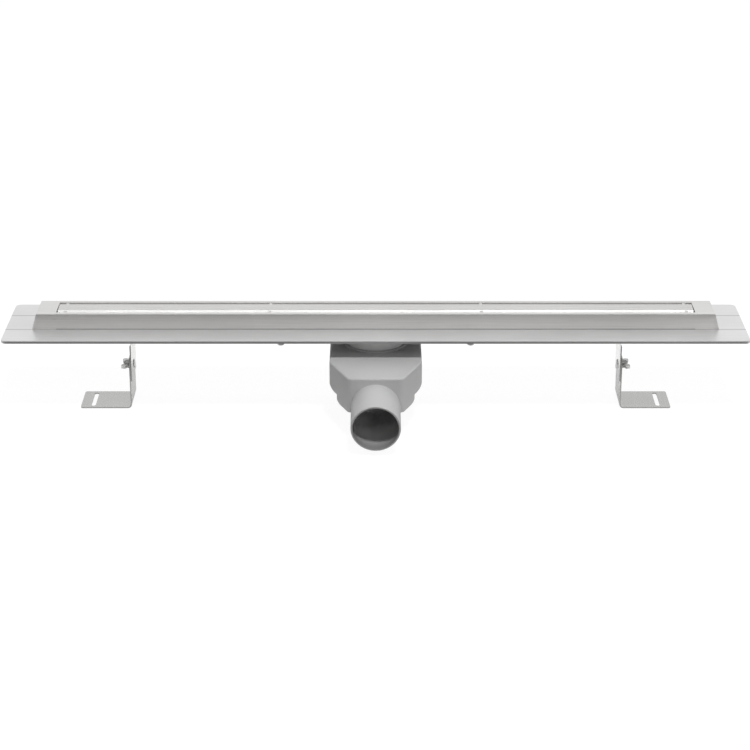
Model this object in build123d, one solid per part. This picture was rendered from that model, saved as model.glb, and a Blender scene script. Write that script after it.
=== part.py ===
from build123d import *
import os
from math import atan2, cos, pi, radians, sin, tan

# A shower channel of folded stainless sheet with a sealing flange, a narrow cover bar, a plastic
# odour trap below its outlet and two height-adjustable feet.
# The origin is the middle of the cover bar's top face, at finished floor level.
# X runs along the channel, -Y points to the outlet side and +Z is up. Sizes are in millimetres.

# Folded channel
sheet = 1.5
bend_radius = 0.4
frame_length = 700.0
frame_width = 41.0
frame_height = 16.7
bar_rise = 0.5
rim_width = 5.8
rim_radius = 0.5
trough_depth = 16.0
flange_end_margin = 32.5
flange_side_margin = 34.0
flange_corner = 6.0
lip_drop = 2.8
lip_radius = 0.4

# End caps, cover bar and its spacers
end_cap_length = 20.0
end_splay = 4.8
end_gusset_setback = 1.0
cap_edge_radius = 0.6
bar_width = 16.4
bar_shoulder_width = 1.6
bar_shoulder_drop = 2.8
bar_depth = 7.0
bar_end_gap = 1.0
bar_edge_radius = 0.4
spacer_thickness = 3.0
spacer_end_inset = 7.6
spacer_middle_gap = 219.0
spacer_side_gap = 0.3
spacer_drop = 0.5
spacer_arch_width = 15.0
spacer_arch_height = 9.0
spacer_foot_chamfer = 1.4

# Weld studs below the flange
stud_radius = 3.5
stud_length = 12.7
stud_spacing_x = 196.0
stud_spacing_y = 54.0
stud_end_chamfer = 0.5

# Outlet collar, from the flange down past the trough into the trap
collar_clearance = 4.5
collar_wall = 1.5
collar_depth = 16.5

# Odour insert, its seal and the hair strainer
insert_length = 50.0
insert_wall = 1.6
insert_rim_gap = 1.2
insert_rim_reach = 3.5
insert_rim_reach_side = 2.7
insert_rim_thickness = 1.5
outlet_slot_gap_end = 1.0
outlet_slot_gap_side = 0.7
insert_dip = 53.5
insert_seal_thickness = 1.0
insert_seal_land = 2.0
strainer_plate = 1.0
strainer_wall = 1.0
strainer_side_gap = 0.8
strainer_depth = 12.0
strainer_hole_rows = 3
strainer_hole_columns = 8
strainer_hole_share = 0.3
strainer_tab_radius = 7.0
strainer_tab_thickness = 1.6
strainer_tab_hole_radius = 3.5

# Odour trap
trap_wall = 2.5
trap_drop = 21.3
trap_half_width = 47.3
trap_side_length = 57.0
trap_front = 104.0
trap_front_half = 27.5
trap_corner_radius = 6.0
trap_top_radius = 1.8
trap_ledge_drop = 50.0
trap_ledge_width = 7.7
trap_ledge_radius = 6.0
trap_floor_drop = 58.0
trap_floor_radius = 4.0
sump_radius = 33.0
sump_drop = 80.0
sump_corner_radius = 4.0
weir_drop = 38.0
weir_setback = 42.5
neck_wall = 2.8
neck_depth = 18.5
neck_ring_wall = 1.1
neck_ring_height = 2.0
neck_ledge_reach = 2.5
neck_ledge_height = 1.5
socket_clearance = 0.3
seal_thickness = 2.2
seal_height = 6.0
running_clearance = 0.07

# Outlet spigot
outlet_radius = 25.0
outlet_wall = 2.1
outlet_slope = 5.5
outlet_drop = 52.6
outlet_length = 44.5
outlet_run_inside = 34.0
outlet_root_length = 6.0
outlet_root_step = 0.4
spigot_bevel_length = 1.0
spigot_bevel_depth = 0.4

# Feet, hangers and their clamp screws
strip_width = 43.6
strip_thickness = 1.2
strip_corner = 2.0
strip_bend_radius = 3.2
hanger_face = 255.1
hanger_tab = 18.0
hanger_tab_inset = 0.7
hanger_drop = 57.5
clamp_gap = 0.1
foot_leg_drop = 31.5
foot_drop = 87.8
sole_length = 53.8
anchor_slot_length = 35.0
anchor_slot_width = 4.6
anchor_slot_inset = 12.8
clamp_drop = 46.0
clamp_slot_width = 6.6
foot_travel_up = 8.0
foot_travel_down = 8.0
bolt_radius = 2.9
bolt_head_radius = 4.8
bolt_head_height = 1.0
bolt_head_dome = 0.7
bolt_neck_width = 6.0
bolt_reach = 7.8
washer_radius = 6.0
washer_thickness = 1.0
washer_bore_radius = 3.2
nut_base_radius = 5.0
nut_top_radius = 4.0
nut_height = 5.2
wing_span = 24.0
wing_height = 8.4
wing_thickness = 2.8
wing_root = 3.0
wing_width = 5.6
wing_tip_radius = 1.4

# Levels and half widths that follow from the sizes above
frame_top = -bar_rise
flange_top = frame_top - frame_height
flange_under = flange_top - sheet
frame_end = frame_length / 2
frame_half = frame_width / 2
flange_length = frame_length + 2 * flange_end_margin
flange_width = frame_width + 2 * flange_side_margin
cap_foot_end = frame_end + end_splay
opening_half = frame_half - rim_width
trough_half = opening_half + sheet
trough_under = flange_top - trough_depth
trough_floor = trough_under + sheet
slot_end = frame_end - end_cap_length
bend_outer = bend_radius + sheet
bar_half_length = slot_end - bar_end_gap
bar_half = bar_width / 2
bar_wide_half = bar_half + bar_shoulder_width
insert_rim_length = insert_length + 2 * insert_rim_reach
insert_rim_width = 2 * (opening_half - insert_rim_gap)
insert_width = insert_rim_width - 2 * insert_rim_reach_side
outlet_slot_length = insert_length + 2 * outlet_slot_gap_end
outlet_slot_width = insert_width + 2 * outlet_slot_gap_side
collar_radius = insert_length / 2 + collar_clearance + collar_wall
seal_radius = collar_radius + seal_thickness
neck_radius = seal_radius + neck_wall
neck_ring_radius = seal_radius + neck_ring_wall
insert_rim_top = trough_floor + insert_seal_thickness + insert_rim_thickness
trap_top = flange_top - trap_drop
trap_seam = trap_top - trap_wall
strip_half = strip_width / 2
hanger_inner = hanger_face - strip_thickness
foot_face = hanger_face + clamp_gap
foot_outer = foot_face + strip_thickness
foot_reach = foot_face + sole_length
foot_under = flange_top - foot_drop
washer_face = foot_outer + clamp_gap
nut_base = washer_face + washer_thickness + clamp_gap
neck_under = trough_under - neck_depth
seal_floor = trap_top - seal_height
clamp_level = flange_top - clamp_drop


def rect(low_u, high_u, low_v, high_v):
    """A rectangle between two corners of the drawing plane."""
    return Pos((low_u + high_u) / 2, (low_v + high_v) / 2) * Rectangle(high_u - low_u, high_v - low_v)


def block(low, high):
    """A box between its lowest and highest corners."""
    size = [b - a for a, b in zip(low, high)]
    middle = [(a + b) / 2 for a, b in zip(low, high)]
    return Pos(*middle) * Box(*size)


def rounded(face, radius, corners):
    """The face with the corners nearest to the given points rounded."""
    picked = [face.vertices().sort_by_distance(Vector(u, v, 0))[0] for u, v in corners]
    return fillet(picked, radius)


def both_sides(points):
    """The points and their mirror images in u."""
    return [(side * u, v) for u, v in points for side in (-1, 1)]


def upright(radius, low, high):
    """A vertical cylinder on the outlet axis."""
    return Pos(0, 0, (low + high) / 2) * Cylinder(radius, high - low)


def flat_slab(face, low, high):
    """A face drawn in X and Y, raised from low to high."""
    return extrude(Pos(0, 0, low) * face, high - low)


def along_x(face, start, end):
    """A face drawn in Y and Z, drawn out along X."""
    return extrude(Plane.YZ.offset(start) * face, end - start)


def along_y(face, half_width):
    """A face drawn in X and Z, drawn out to both sides in Y."""
    return extrude(Plane.XZ * face, half_width, both=True)


def channel_section():
    """The fold from flange to flange: wall, rim, trough, rim and wall."""
    land_half = frame_half + bend_outer
    section = rect(-frame_half, frame_half, flange_under, frame_top)
    section += rect(-trough_half, trough_half, trough_under, frame_top)
    section += rect(-land_half, land_half, flange_under, flange_top)
    section -= rect(-opening_half, opening_half, trough_floor, sheet)
    fold_gap = rect(trough_half, frame_half - sheet, flange_under - sheet, frame_top - sheet)
    section = section - fold_gap - mirror(fold_gap, about=Plane.YZ)
    section = rounded(section, rim_radius, both_sides([(frame_half, frame_top), (opening_half, frame_top)]))
    inner_bends = [(opening_half, trough_floor), (frame_half, flange_top)]
    outer_bends = [(trough_half, trough_under), (frame_half - sheet, flange_under)]
    section = rounded(section, bend_radius, both_sides(inner_bends))
    return rounded(section, bend_outer, both_sides(outer_bends))


def channel_tray():
    land_half = frame_half + bend_outer
    outline = RectangleRounded(flange_length, flange_width, flange_corner)
    flange = flat_slab(outline, flange_top - lip_drop, flange_top)
    flange = fillet(flange.edges().group_by(Axis.Z)[-1], lip_radius)
    pocket = RectangleRounded(flange_length - 2 * sheet, flange_width - 2 * sheet, flange_corner - sheet)
    flange -= flat_slab(pocket, flange_top - lip_drop - sheet, flange_under)
    flange -= block((-slot_end, -land_half, flange_under), (slot_end, land_half, flange_top))
    flange -= block((-cap_foot_end, -frame_half, flange_under), (cap_foot_end, frame_half, flange_top))
    tray = flange + along_x(channel_section(), -slot_end, slot_end)
    outlet = SlotOverall(outlet_slot_length, outlet_slot_width)
    return tray - flat_slab(outlet, trough_under - sheet, trough_floor + sheet)


def end_cap():
    """Right-hand cap: top, two walls and a splayed end let into the flange, and the trough's end."""
    inner_face = slot_end + sheet
    wall_inside = frame_half - sheet
    ceiling = frame_top - sheet
    cap = block((slot_end, -frame_half, flange_under), (frame_end, frame_half, frame_top))
    cap += block((frame_end, -frame_half, flange_under), (cap_foot_end, frame_half, flange_top))
    cap -= block((inner_face, -wall_inside, flange_under), (frame_end, wall_inside, ceiling))
    cap -= block((frame_end, -wall_inside, flange_under), (cap_foot_end - sheet, wall_inside, flange_top))
    splayed_end = [
        (frame_end - sheet, frame_top),
        (frame_end, frame_top),
        (cap_foot_end, flange_top),
        (cap_foot_end - sheet, flange_top),
        (frame_end - sheet, ceiling),
    ]
    cap += along_y(make_face(Polyline(*splayed_end, close=True)), frame_half)
    top_edges = cap.edges().group_by(Axis.Z)[-1]
    cap = fillet([edge for edge in top_edges if edge.center().X > inner_face], cap_edge_radius)
    gusset = make_face(Polyline(*splayed_end[3:], (frame_end - sheet, flange_top), close=True))
    gusset_half = frame_half - end_gusset_setback
    cap += along_y(gusset, gusset_half) - along_y(gusset, gusset_half - sheet)
    end_wall = rect(-trough_half, trough_half, trough_under, flange_top)
    end_wall = rounded(end_wall, bend_outer, both_sides([(trough_half, trough_under)]))
    return cap + along_x(end_wall, slot_end, inner_face)


def bar_outline():
    """The bar from outside: a flat top, two steep shoulders and two upright skirts."""
    half = [(bar_half, 0), (bar_wide_half, -bar_shoulder_drop), (bar_wide_half, -bar_depth)]
    other_half = [(-u, v) for u, v in reversed(half)]
    return make_face(Polyline(*half, *other_half, close=True))


def bar_hollow():
    """The space inside the bar, open downwards."""
    inside = bar_wide_half - sheet
    return offset(bar_outline(), -sheet) + rect(-inside, inside, -bar_depth, -bar_depth + sheet)


def cover_bar():
    section = bar_outline() - bar_hollow()
    section = rounded(section, bar_edge_radius, both_sides([(bar_half, 0)]))
    return along_x(section, -bar_half_length, bar_half_length)


def bar_spacer():
    """Cross plate that carries the bar, keeps it in the middle and stands in the trough."""
    half = opening_half - spacer_side_gap
    plate = rect(-half, half, trough_floor, frame_top - spacer_drop)
    plate = plate - bar_outline() + bar_hollow()
    arch_half = spacer_arch_width / 2
    arch_top = trough_floor + spacer_arch_height
    arch = rect(-arch_half, arch_half, trough_floor - sheet, arch_top)
    plate -= rounded(arch, arch_half / 2, both_sides([(arch_half, arch_top)]))
    feet = [plate.vertices().sort_by_distance(Vector(side * half, trough_floor, 0))[0] for side in (-1, 1)]
    return chamfer(feet, spacer_foot_chamfer)


def bar_spacers():
    half = spacer_thickness / 2
    right_stations = (spacer_middle_gap / 2, bar_half_length - spacer_end_inset)
    stations = [side * station for station in right_stations for side in (-1, 1)]
    return Compound(children=[along_x(bar_spacer(), x - half, x + half) for x in stations])


def weld_studs():
    low = flange_under - stud_length
    stud = upright(stud_radius, low, flange_under)
    stud = chamfer(stud.edges().sort_by(Axis.Z)[0], stud_end_chamfer)
    places = GridLocations(stud_spacing_x, stud_spacing_y, 2, 2)
    return Compound(children=[place * stud for place in places])


def outlet_collar():
    """Tube welded under the flange and round the trough, which plugs into the trap."""
    low = trough_under - collar_depth
    tube = upright(collar_radius, low, flange_under)
    tube -= upright(collar_radius - collar_wall, low - sheet, flange_under + sheet)
    reach = 2 * collar_radius
    trough = rect(-trough_half, trough_half, trough_under, flange_top)
    trough = rounded(trough, bend_outer, both_sides([(trough_half, trough_under)]))
    return tube - along_x(trough, -reach, reach)


def insert_seal():
    low = trough_floor
    ring = SlotOverall(insert_rim_length, insert_rim_width)
    land = 2 * insert_seal_land
    hole = SlotOverall(insert_rim_length - land, insert_rim_width - land)
    return flat_slab(ring - hole, low, low + insert_seal_thickness)


def odour_insert():
    """Oblong dip tube that hangs through the outlet by its rim."""
    rim_under = insert_rim_top - insert_rim_thickness
    rim = flat_slab(SlotOverall(insert_rim_length, insert_rim_width), rim_under, insert_rim_top)
    low = trough_floor - insert_dip
    tube = flat_slab(SlotOverall(insert_length, insert_width), low, rim_under)
    wall = 2 * insert_wall
    bore = SlotOverall(insert_length - wall, insert_width - wall)
    return rim + tube - flat_slab(bore, low - sheet, insert_rim_top + sheet)


def hair_strainer():
    """Shallow perforated basket with a pull tab, dropped into the insert."""
    side = 2 * (insert_wall + strainer_side_gap)
    outer_length, outer_width = insert_length - side, insert_width - side
    wall = 2 * strainer_wall
    low = insert_rim_top - strainer_depth
    plate_top = insert_rim_top + strainer_plate
    plate = flat_slab(SlotOverall(insert_rim_length, insert_rim_width), insert_rim_top, plate_top)
    basket = plate + flat_slab(SlotOverall(outer_length, outer_width), low, insert_rim_top)
    inner_length, inner_width = outer_length - wall, outer_width - wall
    basket -= flat_slab(SlotOverall(inner_length, inner_width), low + strainer_wall, plate_top + sheet)
    column_pitch = inner_length / (strainer_hole_columns + 1)
    row_pitch = inner_width / strainer_hole_rows
    hole = Cylinder(strainer_hole_share * row_pitch, 4 * strainer_wall)
    for place in GridLocations(column_pitch, row_pitch, strainer_hole_columns, strainer_hole_rows):
        basket -= place * Pos(0, 0, low) * hole
    half = strainer_tab_thickness / 2
    foot = low + strainer_wall
    tab = rect(-strainer_tab_radius, strainer_tab_radius, foot, plate_top)
    tab += Pos(0, plate_top) * Circle(strainer_tab_radius)
    tab -= Pos(0, plate_top) * Circle(strainer_tab_hole_radius)
    return basket + extrude(Plane.XZ * tab, half, both=True)


def trap_plan(inset):
    """Outline of the trap from above, drawn in all round: round at the back, cut corners in front."""
    cut = atan2(trap_half_width - trap_front_half, trap_front - trap_side_length)
    side = trap_half_width - inset
    side_end = inset * tan(cut / 2) - trap_side_length
    front_half = trap_front_half - inset * tan(pi / 4 - cut / 2)
    front = inset - trap_front
    corners = [
        (-side, 0),
        (-side, side_end),
        (-front_half, front),
        (front_half, front),
        (side, side_end),
        (side, 0),
    ]
    plan = make_face(Polyline(*corners, close=True))
    plan = rounded(plan, trap_corner_radius - inset, corners[1:5])
    return plan + Circle(side)


def trap_half_section(inset):
    """Half of the trap's cross-section, one wall in from the outside for inset = trap_wall."""
    side = trap_half_width - inset
    lower_side = side - trap_ledge_width
    ledge = flange_top - trap_ledge_drop + inset
    floor = flange_top - trap_floor_drop + inset
    half = rect(0, side, ledge, trap_seam) + rect(0, lower_side, floor, ledge)
    half = rounded(half, trap_ledge_radius - inset, [(side, ledge)])
    return rounded(half, trap_floor_radius - inset, [(lower_side, floor)])


def trap_form(inset):
    """The trap's two-step box: turned at the back, straight towards the front, cut to the plan."""
    half = Plane.XZ * trap_half_section(inset)
    low = flange_top - trap_floor_drop
    right = extrude(half, trap_front) & flat_slab(trap_plan(inset), low - sheet, trap_seam + sheet)
    return revolve(half, Axis.Z) + right + mirror(right, about=Plane.YZ)


def outlet_frame():
    """Plane at the middle of the trap's front face, with its normal down the outlet."""
    slope = radians(outlet_slope)
    down_the_pipe = Vector(0, -cos(slope), -sin(slope))
    return Plane(origin=(0, -trap_front, flange_top - outlet_drop), x_dir=(1, 0, 0), z_dir=down_the_pipe)


def outlet_tube(radius, start, end):
    """A cylinder on the outlet's axis, between two distances from the trap's front face."""
    return extrude(outlet_frame().offset(start) * Circle(radius), end - start)


def trap_housing():
    floor = flange_top - trap_floor_drop
    sump_under = flange_top - sump_drop
    sump = upright(sump_radius, sump_under, floor + trap_wall)
    sump = fillet(sump.edges().sort_by(Axis.Z)[0], sump_corner_radius)
    spigot = outlet_tube(outlet_radius, -outlet_run_inside, outlet_length)
    spigot = chamfer(spigot.edges().sort_by(Axis.Y)[0], spigot_bevel_length, spigot_bevel_depth)
    root_start = outlet_frame().offset(-outlet_run_inside) * Circle(outlet_radius + outlet_root_step)
    root_end = outlet_frame().offset(outlet_root_length) * Circle(outlet_radius)
    spigot += loft([root_start, root_end])
    housing = trap_form(0) + sump + spigot
    cavity = trap_form(trap_wall)
    inner_sump = upright(sump_radius - trap_wall, sump_under + trap_wall, floor + 2 * trap_wall)
    bore = outlet_tube(outlet_radius - outlet_wall, trap_wall - outlet_run_inside, outlet_length + sheet)
    housing = housing - cavity - inner_sump - bore
    weir_low = floor
    weir_top = flange_top - weir_drop
    weir_face = -weir_setback
    weir = block((-trap_half_width, weir_face, weir_low), (trap_half_width, weir_face + trap_wall, weir_top))
    return housing + (weir & trap_form(0))


def trap_lid():
    """Top plate of the trap with the socket that turns round the collar."""
    plate = flat_slab(trap_plan(0), trap_seam, trap_top)
    plate = fillet(plate.edges().group_by(Axis.Z)[-1], trap_top_radius)
    ring_top = trap_top + neck_ring_height
    lid = plate + upright(neck_radius, neck_under, trap_seam) + upright(neck_ring_radius, trap_top, ring_top)
    lid -= upright(collar_radius + socket_clearance, neck_under + neck_ledge_height, ring_top)
    lid -= upright(seal_radius, seal_floor, seal_floor + seal_height)
    return lid - upright(collar_radius - neck_ledge_reach, neck_under, trap_top)


def throat_seal():
    """Rubber ring in the socket, in which the collar turns."""
    top = seal_floor + seal_height - running_clearance
    ring = upright(seal_radius - running_clearance, seal_floor, top)
    return ring - upright(collar_radius + running_clearance, seal_floor - sheet, top + sheet)


def hanger():
    """Right-hand hanger: an angle welded under the trough, with a square hole for the bolt's neck."""
    low = flange_top - hanger_drop
    section = rect(hanger_inner, hanger_face, low, trough_under)
    section += rect(hanger_face - hanger_tab, hanger_face, trough_under - strip_thickness, trough_under)
    inner_bend = (hanger_inner, trough_under - strip_thickness)
    section = rounded(section, strip_bend_radius, [(hanger_face, trough_under)])
    section = rounded(section, strip_bend_radius - strip_thickness, [inner_bend])
    angle = along_y(section, strip_half)
    tab_corner = (hanger_face - hanger_tab, trough_half - hanger_tab_inset, low)
    side_of_tab = block(tab_corner, (hanger_inner, strip_half, trough_under))
    angle = angle - side_of_tab - mirror(side_of_tab, about=Plane.XZ)
    hole = Pos(0, clamp_level) * Rectangle(bolt_neck_width, bolt_neck_width)
    return angle - along_x(hole, hanger_inner, hanger_face)


def foot():
    """Right-hand foot: an angle with a slot for its height in the leg and an anchor slot in the sole."""
    leg_top = flange_top - foot_leg_drop
    section = rect(foot_face, foot_outer, foot_under, leg_top)
    section += rect(foot_face, foot_reach, foot_under, foot_under + strip_thickness)
    section = rounded(section, strip_bend_radius, [(foot_outer, foot_under + strip_thickness)])
    section = rounded(section, strip_bend_radius + strip_thickness, [(foot_face, foot_under)])
    angle = along_y(section, strip_half)
    sole_corners = angle.edges().filter_by(Axis.Z).sort_by(Axis.X)[-2:]
    angle = fillet(sole_corners, strip_corner)
    anchor_slot = Rot(0, 0, 90) * SlotOverall(anchor_slot_length, anchor_slot_width)
    anchor_slot = Pos(foot_reach - anchor_slot_inset, 0) * anchor_slot
    angle -= flat_slab(anchor_slot, foot_under - sheet, foot_under + 2 * strip_thickness)
    height_slot = SlotOverall(foot_travel_up + foot_travel_down + clamp_slot_width, clamp_slot_width)
    slot_level = clamp_level + (foot_travel_down - foot_travel_up) / 2
    height_slot = Pos(0, slot_level) * Rot(0, 0, 90) * height_slot
    return angle - along_x(height_slot, foot_face - sheet, foot_outer + sheet)


def clamp_disc(radius, start, end):
    """A cylinder on the clamp bolt's axis, between two distances along X."""
    return along_x(Pos(0, clamp_level) * Circle(radius), start, end)


def clamp_bolt():
    """Right-hand coach bolt: low domed head, square neck held in the hanger, round shank."""
    head = clamp_disc(bolt_head_radius, hanger_inner - bolt_head_height, hanger_inner)
    head = fillet(head.edges().sort_by(Axis.X)[0], bolt_head_dome)
    neck_section = Pos(0, clamp_level) * Rectangle(bolt_neck_width, bolt_neck_width)
    neck = along_x(neck_section, hanger_inner, hanger_face)
    return head + neck + clamp_disc(bolt_radius, hanger_face, foot_outer + bolt_reach)


def washer():
    disc = clamp_disc(washer_radius, washer_face, washer_face + washer_thickness)
    return disc - clamp_disc(washer_bore_radius, washer_face, washer_face + washer_thickness)


def wing_nut():
    """Right-hand wing nut, its wings lying level."""
    hub = loft([
        Plane.YZ.offset(nut_base) * Pos(0, clamp_level) * Circle(nut_base_radius),
        Plane.YZ.offset(nut_base + nut_height) * Pos(0, clamp_level) * Circle(nut_top_radius),
    ])
    tip = wing_span / 2
    outline = [
        (nut_base, wing_root),
        (nut_base + wing_height / 2, tip),
        (nut_base + wing_height, tip - wing_tip_radius),
        (nut_base + wing_height, tip - wing_width),
        (nut_base + nut_height, wing_root),
    ]
    wing = make_face(Polyline(*outline, close=True))
    wing = rounded(wing, wing_tip_radius, outline[1:4])
    wing = extrude(Pos(0, 0, clamp_level) * wing, wing_thickness / 2, both=True)
    nut = hub + wing + mirror(wing, about=Plane.XZ)
    return nut - clamp_disc(bolt_radius + running_clearance, nut_base, nut_base + wing_height)


def save(name, shape):
    export_step(shape, f"parts/{name}.step")


def save_pair(name, right_piece):
    save(f"{name}_right", right_piece)
    save(f"{name}_left", mirror(right_piece, about=Plane.YZ))


os.makedirs("parts", exist_ok=True)
save("channel_tray", channel_tray())
save_pair("end_cap", end_cap())
save("cover_bar", cover_bar())
save("bar_spacers", bar_spacers())
save("weld_studs", weld_studs())
save("outlet_collar", outlet_collar())
save("insert_seal", insert_seal())
save("odour_insert", odour_insert())
save("hair_strainer", hair_strainer())
save("throat_seal", throat_seal())
save("trap_lid", trap_lid())
save("trap_housing", trap_housing())
save_pair("hanger", hanger())
save_pair("foot", foot())
save_pair("clamp_bolt", clamp_bolt())
save_pair("washer", washer())
save_pair("wing_nut", wing_nut())
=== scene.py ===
import math

import bpy
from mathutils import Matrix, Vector


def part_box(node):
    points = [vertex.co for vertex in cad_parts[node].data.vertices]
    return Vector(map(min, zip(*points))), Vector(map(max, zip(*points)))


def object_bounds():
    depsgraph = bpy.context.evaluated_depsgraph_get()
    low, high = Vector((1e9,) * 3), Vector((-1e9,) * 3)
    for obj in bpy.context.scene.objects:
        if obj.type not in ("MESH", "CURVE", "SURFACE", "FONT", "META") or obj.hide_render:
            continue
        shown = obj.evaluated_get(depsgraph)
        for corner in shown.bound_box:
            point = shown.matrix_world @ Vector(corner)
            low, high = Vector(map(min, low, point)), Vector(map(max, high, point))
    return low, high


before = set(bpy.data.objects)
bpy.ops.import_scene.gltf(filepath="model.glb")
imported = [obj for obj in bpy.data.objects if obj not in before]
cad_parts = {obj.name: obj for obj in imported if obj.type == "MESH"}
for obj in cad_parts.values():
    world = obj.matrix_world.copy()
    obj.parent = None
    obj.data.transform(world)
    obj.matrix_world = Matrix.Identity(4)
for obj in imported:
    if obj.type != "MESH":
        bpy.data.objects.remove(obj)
cad_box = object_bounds()

# The camera, worked out from the flange's edges in the photograph. Lengths are in metres.
SENSOR = 0.036
PHOTO_PIXELS = 750
FOCAL_PIXELS = 2158
CAMERA_PITCH = 22.0
CAMERA_PLACE = (-0.0007, -2.105, 0.7742)

# Places of the part that the looks follow. The outlet's place is the middle of its root.
MM = 0.001
SHEET = 1.5 * MM
FLOOR_LEVEL = cad_box[0].z
FLANGE_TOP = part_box("weld_studs")[1].z + SHEET
WALL_BEND = (20.5 * MM, FLANGE_TOP)
OUTLET_SLOPE = 5.5
OUTLET_PLACE = (0, -104 * MM, FLANGE_TOP - 52.6 * MM)
BORE_RADIUS = 22.9 * MM
# The span along the bore where painted shade at its mouth turns to painted light further in
BORE_SHADE_TO_LIGHT_SPAN = (-40 * MM, 10 * MM)
SMOOTH_ANGLE = 30.0

# Waves per metre. Brush lines run along X on the channel, along Y on the feet's angles.
ALONG_X = (14.0, 1500.0, 1500.0)
ALONG_Y = (1300.0, 16.0, 1300.0)
CLOUDS = (9.0, 14.0, 14.0)
MOULD_GRAIN = (2200.0, 2200.0, 2200.0)
MOULD_FLOW = (22.0, 16.0, 30.0)
ZINC_SPECKS = (700.0, 700.0, 700.0)
ZINC_CELLS = 900.0
RUBBER_BLOOM = (260.0, 260.0, 260.0)

# Tones
LINE_TONE = (0.93, 0.93, 0.93)
CLOUD_TONE = (0.96, 0.96, 0.96)
GRAIN_SHADES = (0.93, 0.93, 0.93), (1, 1, 1)
# Lit and shaded copies of one steel, painted light and shade: darker beneath the flange top, lighter on
# upright walls
UNDER_SHADE_STEEL = (0.56, 0.56, 0.56)
FLANGE_STEEL = (0.89, 0.89, 0.89)
FRAME_LIT_STEEL = (0.95, 0.935, 0.92)
# Painted shade along the bend at the foot of the walls and on the cut edges of the feet and hangers
CREASE_SHADE_STEEL = (0.45, 0.45, 0.45)
CUT_EDGE_SHADE_STEEL = (0.33, 0.33, 0.32)
# The spacers' own tone, also used as painted shade: a darker band on the rim tops of the tray and caps
SPACER_AND_RIM_SHADE_STEEL = (0.82, 0.815, 0.80)
# Painted highlight: the cover bar's sides near white, its top a darker copy of the same steel
BAR_TOP_STEEL = (0.77, 0.765, 0.75)
SHOULDER_HIGHLIGHT_STEEL = (1.0, 0.995, 0.98)
# Painted light: a pale, non-metallic copy of the steel that lifts the shaded outlet collar
COLLAR_LIT_STEEL = (0.98, 0.98, 0.97)
# Shaded and lit copies of the feet's steel, painted light and shade: darker soles, lighter uprights
SOLE_SHADE_STEEL = (0.62, 0.62, 0.61)
LEG_LIT_STEEL = (0.93, 0.93, 0.92)
ZINC = (0.68, 0.68, 0.67)
TRAP_PLASTIC = (0.49, 0.49, 0.49)
# Inside the outlet bore: painted shade at the mouth, painted light further in
BORE_PAINTED_TONES = (0.24, 0.24, 0.24), (0.80, 0.80, 0.80)
INSERT_PLASTIC = (0.13, 0.13, 0.14)
RUBBER = (0.035, 0.035, 0.035)

# The floor and the sky, dark at the front and pale behind, with the span of Y where they change
FLOOR_SIZE = 30.0
FLOOR_GAP = 0.3 * MM
FLOOR_SHADES = (0.06, 0.06, 0.06), (0.9, 0.9, 0.9)
FLOOR_CHANGE = (-0.20, -0.10)
FLOOR_SEEN_GLOW = 0.93
FLOOR_SEEN_SHADE = (0.12, 0.12, 0.12, 1)
FOOT_GLOW = 0.16
FOOT_GLOW_EDGE = (0.19, 0.22)
SKY_SHADES = (0.10, 0.10, 0.10), (0.88, 0.88, 0.88)
SKY_CHANGE = (-0.8, 0.8)


def node(tree, kind, **settings):
    """A new shader node with its sockets or properties set by name."""
    made = tree.nodes.new(kind)
    for name, value in settings.items():
        if name in made.inputs:
            made.inputs[name].default_value = value
        else:
            setattr(made, name, value)
    return made


def new_material(name):
    """An empty material."""
    material = bpy.data.materials.new(name)
    material.use_nodes = True
    material.node_tree.nodes.clear()
    return material


def part_place(tree):
    """The point in the part's own coordinates, in metres."""
    return node(tree, "ShaderNodeTexCoord").outputs["Object"]


def part_axes(tree):
    """The point's X, Y and Z in the part's own coordinates, in metres."""
    split = node(tree, "ShaderNodeSeparateXYZ")
    tree.links.new(part_place(tree), split.inputs["Vector"])
    return split.outputs


def object_noise(tree, stretch, detail=3.0):
    """Noise in the part's own coordinates, with so many waves per metre along each axis."""
    mapping = node(tree, "ShaderNodeMapping", Scale=stretch)
    noise = node(tree, "ShaderNodeTexNoise", Scale=1.0, Detail=detail)
    tree.links.new(part_place(tree), mapping.inputs["Vector"])
    tree.links.new(mapping.outputs["Vector"], noise.inputs["Vector"])
    return noise.outputs["Fac"]


def remap(tree, value, low, high, to_low, to_high):
    """The value moved from one range to another, clamped."""
    made = node(tree, "ShaderNodeMapRange")
    made.inputs["From Min"].default_value = low
    made.inputs["From Max"].default_value = high
    made.inputs["To Min"].default_value = to_low
    made.inputs["To Max"].default_value = to_high
    tree.links.new(value, made.inputs["Value"])
    return made.outputs["Result"]


def blend_colours(tree, factor, first, second, mode="MIX"):
    """One colour where the factor is 0, the other where it is 1. Either may be a socket."""
    mix = node(tree, "ShaderNodeMix", data_type="RGBA", blend_type=mode)
    for socket, colour in ((mix.inputs[6], first), (mix.inputs[7], second)):
        if isinstance(colour, bpy.types.NodeSocket):
            tree.links.new(colour, socket)
        else:
            socket.default_value = (*colour, 1)
    if isinstance(factor, bpy.types.NodeSocket):
        tree.links.new(factor, mix.inputs[0])
    else:
        mix.inputs[0].default_value = factor
    return mix.outputs[2]


def shades(colour, spread):
    """A darker and a lighter version of a colour."""
    return tuple(c * (1 - spread) for c in colour), tuple(min(1, c * (1 + spread)) for c in colour)


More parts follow.
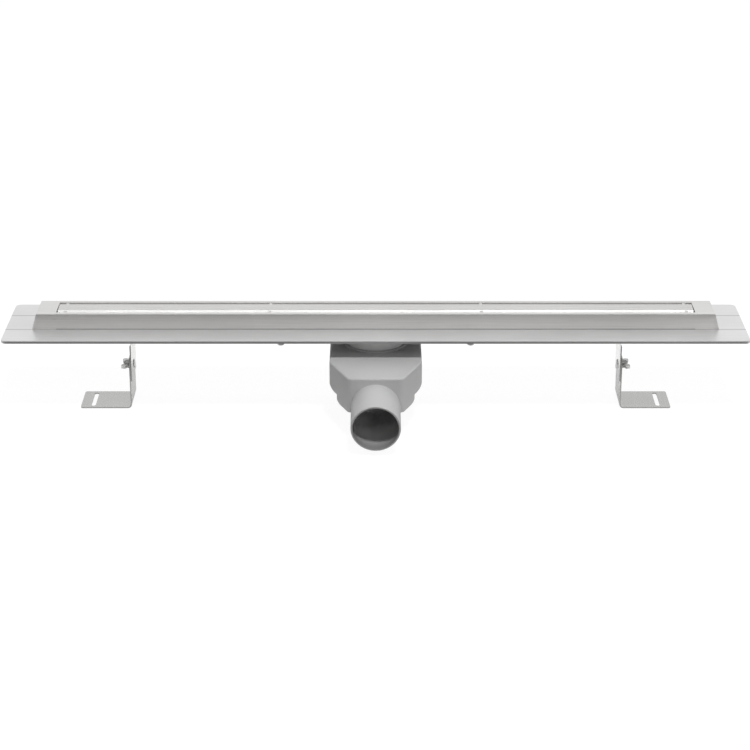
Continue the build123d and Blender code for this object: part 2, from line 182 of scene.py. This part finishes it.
def bend_line(tree, half_width, level):
    """1 on the folds that run along X at this half width and level, 0 half a millimetre off."""
    folded = node(tree, "ShaderNodeVectorMath", operation="ABSOLUTE")
    off_bend = node(tree, "ShaderNodeVectorMath", operation="SUBTRACT")
    off_bend.inputs[1].default_value = (0, half_width, abs(level))
    across = node(tree, "ShaderNodeVectorMath", operation="MULTIPLY")
    across.inputs[1].default_value = (0, 1, 1)
    length = node(tree, "ShaderNodeVectorMath", operation="LENGTH")
    tree.links.new(part_place(tree), folded.inputs[0])
    tree.links.new(folded.outputs["Vector"], off_bend.inputs[0])
    tree.links.new(off_bend.outputs["Vector"], across.inputs[0])
    tree.links.new(across.outputs["Vector"], length.inputs[0])
    return remap(tree, length.outputs["Value"], 0.5 * MM, 1.0 * MM, 1, 0)


def sheared_edges(tree, front, back):
    """1 on the cut edges at these two places along Y, 0 half a millimetre from them."""
    along_y = part_axes(tree)["Y"]
    at_front = remap(tree, along_y, front + 0.1 * MM, front + 0.5 * MM, 1, 0)
    at_back = remap(tree, along_y, back - 0.5 * MM, back - 0.1 * MM, 0, 1)
    either = node(tree, "ShaderNodeMath", operation="MAXIMUM")
    tree.links.new(at_front, either.inputs[0])
    tree.links.new(at_back, either.inputs[1])
    return either.outputs[0]


def finish_shader(tree, shader):
    """The shader joined to the material's output."""
    output = node(tree, "ShaderNodeOutputMaterial")
    tree.links.new(shader.outputs["BSDF"], output.inputs["Surface"])


def bump(tree, shader, value, strength, distance):
    """The value as fine relief on the shader's surface."""
    made = node(tree, "ShaderNodeBump", Strength=strength, Distance=distance)
    tree.links.new(value, made.inputs["Height"])
    tree.links.new(made.outputs["Normal"], shader.inputs["Normal"])


def brushed_steel(name, colour, roughness, grain, metallic=0.7, zones=(), crease=None, edges=None):
    """Sheet steel with fine brush lines along the axis where grain is small, and faint clouds.

    Each zone is a colour and the two heights between which the sheet turns from the one before.
    With a crease, the sheet is darker along the bend at that half width and height: painted shade.
    With edges, it is darker on its two cut edges: painted shade.
    """
    material = new_material(name)
    tree = material.node_tree
    shader = node(tree, "ShaderNodeBsdfPrincipled", Metallic=metallic)
    lines = object_noise(tree, grain, detail=4.0)
    clouds = object_noise(tree, CLOUDS, detail=2.0)
    tone = colour
    for zone_colour, low, high in zones:
        above = remap(tree, part_axes(tree)["Z"], low, high, 0, 1)
        tone = blend_colours(tree, above, tone, zone_colour)
    line_tone = blend_colours(tree, remap(tree, lines, 0.3, 0.7, 0, 1), *shades(LINE_TONE, 0.05))
    cloud_tone = blend_colours(tree, remap(tree, clouds, 0.35, 0.65, 0, 1), *shades(CLOUD_TONE, 0.03))
    tone = blend_colours(tree, 1.0, tone, line_tone, "MULTIPLY")
    tone = blend_colours(tree, 1.0, tone, cloud_tone, "MULTIPLY")
    # Painted shade along the bend and on the cut edges.
    if crease:
        tone = blend_colours(tree, bend_line(tree, *crease), tone, CREASE_SHADE_STEEL)
    if edges:
        tone = blend_colours(tree, sheared_edges(tree, *edges), tone, CUT_EDGE_SHADE_STEEL)
    tree.links.new(tone, shader.inputs["Base Color"])
    rough = remap(tree, lines, 0.25, 0.75, roughness - 0.06, roughness + 0.06)
    tree.links.new(rough, shader.inputs["Roughness"])
    bump(tree, shader, lines, 0.15, 0.04 * MM)
    finish_shader(tree, shader)
    return material


def outlet_place(tree):
    """How far a point lies from the outlet pipe's axis and behind its root, in metres."""
    turned = node(tree, "ShaderNodeMapping", vector_type="TEXTURE", Location=OUTLET_PLACE)
    turned.inputs["Rotation"].default_value = (math.radians(OUTLET_SLOPE), 0, 0)
    across = node(tree, "ShaderNodeVectorMath", operation="MULTIPLY")
    across.inputs[1].default_value = (1, 0, 1)
    length = node(tree, "ShaderNodeVectorMath", operation="LENGTH")
    along = node(tree, "ShaderNodeSeparateXYZ")
    tree.links.new(part_place(tree), turned.inputs["Vector"])
    tree.links.new(turned.outputs["Vector"], across.inputs[0])
    tree.links.new(turned.outputs["Vector"], along.inputs["Vector"])
    tree.links.new(across.outputs["Vector"], length.inputs[0])
    return length.outputs["Value"], along.outputs["Y"]


def moulded_plastic(name, colour, roughness, painted_bore_tones=None):
    """Plastic from a fine eroded mould: a tight grain and slow changes of tone and gloss.

    Bore shades are the two colours painted inside the outlet pipe: painted shade at its mouth and painted
    light further in.
    """
    material = new_material(name)
    tree = material.node_tree
    shader = node(tree, "ShaderNodeBsdfPrincipled", IOR=1.5)
    grain = object_noise(tree, MOULD_GRAIN, detail=2.0)
    flow = object_noise(tree, MOULD_FLOW)
    tone = blend_colours(tree, remap(tree, flow, 0.35, 0.65, 0, 1), *shades(colour, 0.03))
    speckle = blend_colours(tree, remap(tree, grain, 0.3, 0.7, 0, 1), *GRAIN_SHADES)
    tone = blend_colours(tree, 1.0, tone, speckle, "MULTIPLY")
    if painted_bore_tones:
        off_axis, depth = outlet_place(tree)
        # Painted shade at the bore's mouth, turning to painted light further in.
        inside = remap(tree, off_axis, BORE_RADIUS + 0.2 * MM, BORE_RADIUS + 0.8 * MM, 1, 0)
        bore = blend_colours(tree, remap(tree, depth, *BORE_SHADE_TO_LIGHT_SPAN, 0, 1), *painted_bore_tones)
        tone = blend_colours(tree, inside, tone, bore)
    tree.links.new(tone, shader.inputs["Base Color"])
    rough = remap(tree, flow, 0.3, 0.7, roughness - 0.05, roughness + 0.05)
    tree.links.new(rough, shader.inputs["Roughness"])
    bump(tree, shader, grain, 0.3, 0.05 * MM)
    finish_shader(tree, shader)
    return material


def dull_zinc(name, colour, roughness):
    """Zinc-plated steel: a spangle of small flat crystals and darker specks in them."""
    material = new_material(name)
    tree = material.node_tree
    shader = node(tree, "ShaderNodeBsdfPrincipled", Metallic=0.9)
    cells = node(tree, "ShaderNodeTexVoronoi", Scale=ZINC_CELLS)
    tree.links.new(part_place(tree), cells.inputs["Vector"])
    specks = object_noise(tree, ZINC_SPECKS)
    tone = blend_colours(tree, remap(tree, specks, 0.35, 0.65, 0, 1), *shades(colour, 0.16))
    tree.links.new(tone, shader.inputs["Base Color"])
    rough = remap(tree, cells.outputs["Distance"], 0.0, 0.6, roughness - 0.08, roughness + 0.1)
    tree.links.new(rough, shader.inputs["Roughness"])
    bump(tree, shader, specks, 0.2, 0.04 * MM)
    finish_shader(tree, shader)
    return material


def seal_rubber(name, colour):
    """Dull rubber with a faint uneven bloom."""
    material = new_material(name)
    tree = material.node_tree
    shader = node(tree, "ShaderNodeBsdfPrincipled", IOR=1.5)
    bloom = object_noise(tree, RUBBER_BLOOM, detail=4.0)
    tone = blend_colours(tree, remap(tree, bloom, 0.35, 0.7, 0, 1), *shades(colour, 0.25))
    tree.links.new(tone, shader.inputs["Base Color"])
    tree.links.new(remap(tree, bloom, 0.3, 0.7, 0.55, 0.75), shader.inputs["Roughness"])
    bump(tree, shader, bloom, 0.2, 0.05 * MM)
    finish_shader(tree, shader)
    return material


def dress(material, *names):
    """The material put on these nodes."""
    for name in names:
        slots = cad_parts[name].data.materials
        slots.clear()
        slots.append(material)


def dress_nodes():
    """Every node's material."""
    # The tray's tone by height is painted light and shade: shaded beneath the flange top, lit on the
    # upright walls.
    flange_zone = (FLANGE_STEEL, FLANGE_TOP - 0.8 * MM, FLANGE_TOP - 0.3 * MM)
    lit_wall_zone = (FRAME_LIT_STEEL, FLANGE_TOP + 0.2 * MM, FLANGE_TOP + 0.8 * MM)
    # Painted shade: a darker band along the top of the rim, on the tray and the caps.
    rim_shade_zone = (SPACER_AND_RIM_SHADE_STEEL, -1.9 * MM, -1.1 * MM)
    tray_zones = (flange_zone, lit_wall_zone, rim_shade_zone)
    tray = brushed_steel("tray_steel", UNDER_SHADE_STEEL, 0.40, ALONG_X, zones=tray_zones, crease=WALL_BEND)
    dress(tray, "channel_tray")
    cap = brushed_steel("cap_steel", FRAME_LIT_STEEL, 0.32, ALONG_X, zones=(rim_shade_zone,))
    dress(cap, "end_cap_left", "end_cap_right")
    # The cover bar: painted highlight on its sides, a darker copy of the steel on its top.
    bar_top = (BAR_TOP_STEEL, -0.35 * MM, -0.1 * MM)
    dress(brushed_steel("bar_steel", SHOULDER_HIGHLIGHT_STEEL, 0.28, ALONG_X, 0.9, (bar_top,)), "cover_bar")
    dress(brushed_steel("spacer_steel", SPACER_AND_RIM_SHADE_STEEL, 0.35, ALONG_Y), "bar_spacers")
    # The outlet collar carries painted light: a pale, non-metallic copy of the steel.
    dress(brushed_steel("collar_steel", COLLAR_LIT_STEEL, 0.38, ALONG_X, metallic=0.0), "outlet_collar")
    # Feet and hangers: painted shade on the soles, painted light on the uprights.
    lit_leg_zone = (LEG_LIT_STEEL, FLOOR_LEVEL + 2.0 * MM, FLOOR_LEVEL + 6.0 * MM)
    for piece in ("hanger", "foot"):
        ends = [corner.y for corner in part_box(piece + "_left")]
        angle = brushed_steel(piece + "_steel", SOLE_SHADE_STEEL, 0.26, ALONG_Y, 0.92, (lit_leg_zone,), edges=ends)
        dress(angle, piece + "_left", piece + "_right")
    zinc = dull_zinc("zinc", ZINC, 0.42)
    dress(zinc, "weld_studs", "clamp_bolt_left", "clamp_bolt_right", "washer_left", "washer_right")
    dress(dull_zinc("wing_zinc", ZINC, 0.38), "wing_nut_left", "wing_nut_right")
    trap = moulded_plastic("trap_plastic", TRAP_PLASTIC, 0.5, painted_bore_tones=BORE_PAINTED_TONES)
    dress(trap, "trap_housing", "trap_lid")
    dress(moulded_plastic("insert_plastic", INSERT_PLASTIC, 0.42), "odour_insert", "hair_strainer")
    dress(seal_rubber("rubber", RUBBER), "insert_seal", "throat_seal")


def smooth(name):
    """Rounded faces shade smoothly and real edges stay sharp."""
    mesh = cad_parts[name].data
    mesh.shade_smooth()
    mesh.set_sharp_from_angle(angle=math.radians(SMOOTH_ANGLE))


def make_floor():
    """A plain pale floor. The camera sees it nearly white, and nothing of it from below.

    It throws back less light in front of the part, and more beside the feet.
    """
    mesh = bpy.data.meshes.new("floor")
    size = FLOOR_SIZE
    corners = [(-size, -size, 0), (size, -size, 0), (size, size, 0), (-size, size, 0)]
    mesh.from_pydata(corners, [], [(0, 1, 2, 3)])
    floor = bpy.data.objects.new("floor", mesh)
    floor.location.z = FLOOR_LEVEL - FLOOR_GAP
    bpy.context.scene.collection.objects.link(floor)
    material = new_material("floor")
    tree = material.node_tree
    floor_axes = part_axes(tree)
    depth = remap(tree, floor_axes["Y"], *FLOOR_CHANGE, 0, 1)
    matt = node(tree, "ShaderNodeBsdfDiffuse")
    tree.links.new(blend_colours(tree, depth, *FLOOR_SHADES), matt.inputs["Color"])
    sideways = node(tree, "ShaderNodeMath", operation="ABSOLUTE")
    tree.links.new(floor_axes["X"], sideways.inputs[0])
    beside = remap(tree, sideways.outputs[0], *FOOT_GLOW_EDGE, 0, FOOT_GLOW)
    glow = node(tree, "ShaderNodeEmission")
    tree.links.new(blend_colours(tree, depth, (0, 0, 0), (1, 1, 1)), glow.inputs["Color"])
    tree.links.new(beside, glow.inputs["Strength"])
    bounce = node(tree, "ShaderNodeAddShader")
    tree.links.new(matt.outputs[0], bounce.inputs[0])
    tree.links.new(glow.outputs[0], bounce.inputs[1])
    seen_glow = node(tree, "ShaderNodeEmission", Color=(1, 1, 1, 1), Strength=FLOOR_SEEN_GLOW)
    seen_shade = node(tree, "ShaderNodeBsdfDiffuse", Color=FLOOR_SEEN_SHADE)
    seen = node(tree, "ShaderNodeAddShader")
    tree.links.new(seen_glow.outputs[0], seen.inputs[0])
    tree.links.new(seen_shade.outputs[0], seen.inputs[1])
    rays = node(tree, "ShaderNodeLightPath")
    mix = node(tree, "ShaderNodeMixShader")
    tree.links.new(rays.outputs["Is Camera Ray"], mix.inputs["Fac"])
    tree.links.new(bounce.outputs[0], mix.inputs[1])
    tree.links.new(seen.outputs[0], mix.inputs[2])
    side = node(tree, "ShaderNodeNewGeometry")
    one_sided = node(tree, "ShaderNodeMixShader")
    tree.links.new(side.outputs["Backfacing"], one_sided.inputs["Fac"])
    tree.links.new(mix.outputs[0], one_sided.inputs[1])
    tree.links.new(node(tree, "ShaderNodeBsdfTransparent").outputs[0], one_sided.inputs[2])
    output = node(tree, "ShaderNodeOutputMaterial")
    tree.links.new(one_sided.outputs[0], output.inputs["Surface"])
    mesh.materials.append(material)


def area_light(name, place, aim, size, power, mirrored=True):
    """A rectangular lamp. One that isn't mirrored lights the part but leaves no glint on its edges."""
    data = bpy.data.lights.new(name, "AREA")
    data.shape = "RECTANGLE"
    data.size, data.size_y = size
    data.energy = power
    light = bpy.data.objects.new(name, data)
    light.location = place
    light.visible_glossy = mirrored
    light.rotation_euler = (Vector(aim) - Vector(place)).to_track_quat("-Z", "Y").to_euler()
    bpy.context.scene.collection.objects.link(light)


def make_light():
    """Soft studio light: the sky, a key from above the front, a low fill and a softbox from the front."""
    world = bpy.data.worlds.new("studio")
    world.use_nodes = True
    tree = world.node_tree
    tree.nodes.clear()
    place = node(tree, "ShaderNodeTexCoord")
    split = node(tree, "ShaderNodeSeparateXYZ")
    tree.links.new(place.outputs["Generated"], split.inputs["Vector"])
    front_to_back = remap(tree, split.outputs["Y"], *SKY_CHANGE, 0, 1)
    sky = node(tree, "ShaderNodeBackground", Strength=1.0)
    tree.links.new(blend_colours(tree, front_to_back, *SKY_SHADES), sky.inputs["Color"])
    output = node(tree, "ShaderNodeOutputWorld")
    tree.links.new(sky.outputs[0], output.inputs["Surface"])
    bpy.context.scene.world = world
    area_light("key", (0.35, -1.3, 2.5), (0, 0, -0.05), (0.5, 0.3), 50.0, mirrored=False)
    area_light("bore_fill", (0.9, -2.2, 0.12), (0, -0.1, -0.07), (0.8, 0.8), 5.0, mirrored=False)
    area_light("front_softbox", (0.4, -2.34, 1.87), (0.1, 0, 0), (3.4, 0.45), 12.0)


def make_camera():
    """The photograph's viewpoint."""
    data = bpy.data.cameras.new("camera")
    data.sensor_width = SENSOR * 1000
    data.lens = FOCAL_PIXELS / PHOTO_PIXELS * SENSOR * 1000
    camera = bpy.data.objects.new("camera", data)
    camera.location = CAMERA_PLACE
    camera.rotation_euler = (math.radians(90 - CAMERA_PITCH), 0, 0)
    bpy.context.scene.collection.objects.link(camera)
    bpy.context.scene.camera = camera


bpy.context.scene.view_settings.view_transform = "Standard"
dress_nodes()
for cad_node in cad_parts:
    smooth(cad_node)
make_floor()
make_light()
make_camera()
